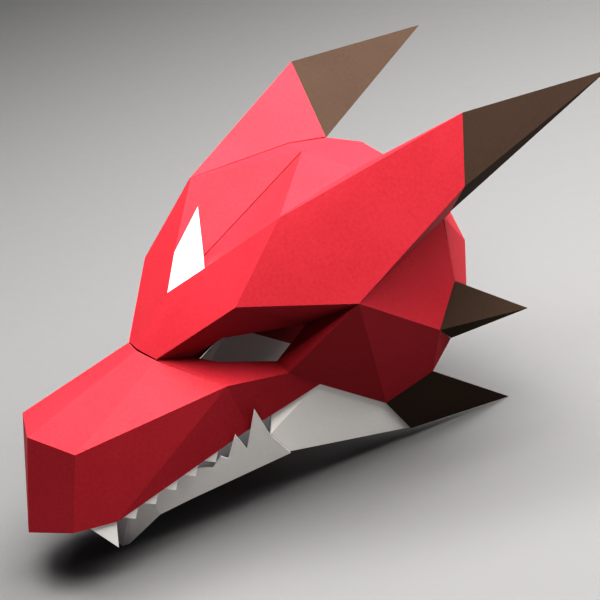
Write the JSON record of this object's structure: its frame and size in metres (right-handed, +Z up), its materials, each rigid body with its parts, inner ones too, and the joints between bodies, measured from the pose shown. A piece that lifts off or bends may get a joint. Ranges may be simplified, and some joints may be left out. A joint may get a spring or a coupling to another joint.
{
  "type": "dragon head mask",
  "caption": "Hollow dragon head mask of folded card: long blunt snout, slanted eye slots, swept horns with dark ends, rear spikes and a toothed lower jaw, open below for the head.",
  "frame": {"origin": "bottom centre of the bounding box, on the surface that the mask rests on", "axes": "+Z up, the dragon faces -Y and its left is +X"},
  "size_m": [0.3534, 0.635, 0.3404],
  "materials": {
    "card_red": "matte coloured card with a fine grain",
    "card_brown": "matte dark brown card",
    "card_white": "matte white card"
  },
  "bodies": {
    "root": {"snout": "card_red", "eye_surround_left": "card_red", "eye_surround_right": "card_red", "forehead": "card_red", "forehead_horn": "card_white", "crown": "card_red", "head_back": "card_red", "cheek_left": "card_red", "cheek_right": "card_red", "horn_left": "card_red", "horn_right": "card_red", "horn_tip_left": "card_brown", "horn_tip_right": "card_brown", "upper_spike_left": "card_brown", "upper_spike_right": "card_brown", "lower_spike_left": "card_brown", "lower_spike_right": "card_brown", "jaw_side_left": "card_white", "jaw_side_right": "card_white", "jaw_rear_left": "card_white", "jaw_rear_right": "card_white", "chin": "card_white", "jaw_floor": "card_white", "upper_teeth_left": "card_white", "upper_teeth_right": "card_white", "front_tooth_left": "card_white", "front_tooth_right": "card_white"}
  },
  "joints": []
}
